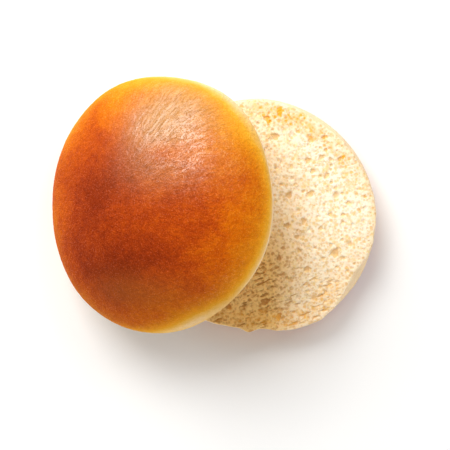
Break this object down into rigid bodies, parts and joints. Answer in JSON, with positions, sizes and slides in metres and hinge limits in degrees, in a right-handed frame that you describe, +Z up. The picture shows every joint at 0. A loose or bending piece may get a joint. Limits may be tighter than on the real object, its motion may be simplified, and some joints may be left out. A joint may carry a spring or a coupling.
{
  "type": "bread roll",
  "caption": "Soft round bread roll cut into two halves: the lower half lies flat with its open crumb up, and the glossy domed upper half leans on its edge.",
  "frame": {"origin": "on the table, under the middle of the whole's bounding box", "axes": "+Z up, +X along the longest side, from the upper half standing on its rim towards the lower half lying flat"},
  "size_m": [0.1344, 0.1038, 0.0701],
  "materials": {
    "crust": "glossy golden to deep brown baked crust, pale and unbrowned along the cut",
    "crumb": "soft cream crumb with open pores, matt"
  },
  "bodies": {
    "root": {"crown": "crust", "heel": "crumb"}
  },
  "joints": []
}
